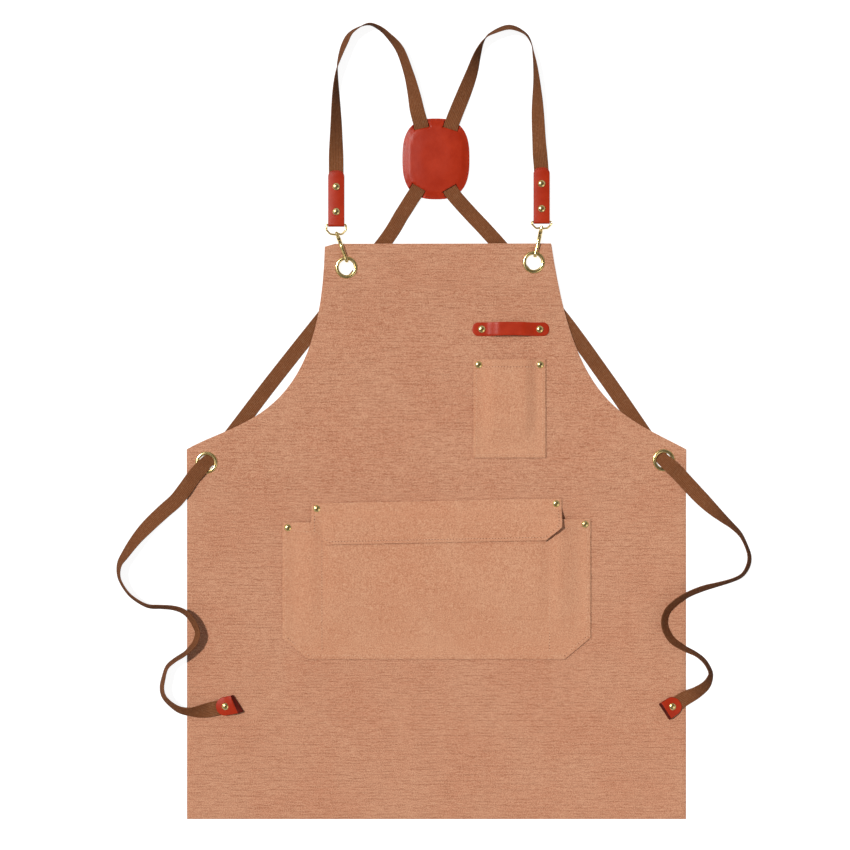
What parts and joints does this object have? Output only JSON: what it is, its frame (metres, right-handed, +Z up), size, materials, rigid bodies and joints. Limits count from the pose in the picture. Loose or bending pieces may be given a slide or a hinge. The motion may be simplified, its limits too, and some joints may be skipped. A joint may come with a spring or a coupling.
{
  "type": "cross-back work apron",
  "caption": "Canvas bib apron with crossed webbing straps, leather patch and tabs, snap hooks, metal eyelets, a chest pocket and a wide flapped pocket, laid flat.",
  "frame": {"origin": "middle of the apron's flat plan, on the surface it lies on", "axes": "+X across the apron to the chest pocket's side, +Y from the hem to the bib, +Z up out of the front"},
  "size_m": [0.8659, 1.0829, 0.0212],
  "materials": {
    "canvas": "washed slub canvas",
    "pocket_canvas": "washed canvas",
    "leather": "satin finished leather",
    "webbing": "woven cotton webbing",
    "gold": "polished pale gold plating"
  },
  "bodies": {
    "apron": {"body_panel": "canvas", "chest_left_rivet": "gold", "chest_pocket": "pocket_canvas", "chest_right_rivet": "gold", "flap_band": "pocket_canvas", "flap_left_rivet": "gold", "flap_right_rivet": "gold", "kangaroo_left_rivet": "gold", "kangaroo_pocket": "pocket_canvas", "kangaroo_right_rivet": "gold", "left_bib_eyelet": "gold", "left_bib_washer": "gold", "left_hook_eye": "gold", "left_shoulder_rivet_1": "gold", "left_shoulder_rivet_2": "gold", "left_shoulder_strap": "webbing", "left_shoulder_tab": "leather", "left_waist_eyelet": "gold", "left_waist_washer": "gold", "patch_back": "leather", "patch_front": "leather", "pen_loop": "leather", "pen_loop_left_rivet": "gold", "pen_loop_right_rivet": "gold", "right_bib_eyelet": "gold", "right_bib_washer": "gold", "right_hook_eye": "gold", "right_shoulder_rivet_1": "gold", "right_shoulder_rivet_2": "gold", "right_shoulder_strap": "webbing", "right_shoulder_tab": "leather", "right_waist_eyelet": "gold", "right_waist_washer": "gold"},
    "left_clip_gate": {"left_gate": "gold"},
    "left_clip": {"left_gate_pin": "gold", "left_hook": "gold"},
    "left_tie": {"left_tie_rivet": "gold", "left_tie_tab": "leather", "left_tie_tail": "webbing"},
    "flap": {"pocket_flap": "pocket_canvas"},
    "right_clip_gate": {"right_gate": "gold"},
    "right_clip": {"right_gate_pin": "gold", "right_hook": "gold"},
    "right_tie": {"right_tie_rivet": "gold", "right_tie_tab": "leather", "right_tie_tail": "webbing"}
  },
  "joints": [
    {"name": "flap_hinge", "type": "hinge", "parent": "apron", "child": "flap", "pos_m": [0, -0.1215, 0.0022], "axis": [-0.9998, -0.0205, 0], "range_deg": [0, 100]},
    {"name": "left_tie_swing", "type": "hinge", "parent": "apron", "child": "left_tie", "pos_m": [-0.3133, -0.0552, 0.003], "axis": [0, 0, -1], "range_deg": [0, 30]},
    {"name": "left_clip_swivel", "type": "hinge", "parent": "apron", "child": "left_clip", "pos_m": [-0.1354, 0.2558, 0.0027], "axis": [0.3411, -0.94, 0], "range_deg": [-10, 10]},
    {"name": "left_gate_hinge", "type": "hinge", "parent": "left_clip", "child": "left_clip_gate", "pos_m": [-0.13216, 0.24687, 0.0014], "axis": [-0.94, -0.3411, 0], "range_deg": [0, 3.5], "stiffness_Nm_per_rad": 0.002, "springref_deg": -20.05},
    {"name": "right_tie_swing", "type": "hinge", "parent": "apron", "child": "right_tie", "pos_m": [0.3093, -0.0519, 0.003], "axis": [0, 0, 1], "range_deg": [0, 30]},
    {"name": "right_clip_swivel", "type": "hinge", "parent": "apron", "child": "right_clip", "pos_m": [0.1427, 0.264, 0.0027], "axis": [-0.2217, -0.9751, 0], "range_deg": [-10, 10]},
    {"name": "right_gate_hinge", "type": "hinge", "parent": "right_clip", "child": "right_clip_gate", "pos_m": [0.14059, 0.25474, 0.0014], "axis": [-0.9751, 0.2217, 0], "range_deg": [0, 3.5], "stiffness_Nm_per_rad": 0.002, "springref_deg": -20.05}
  ]
}
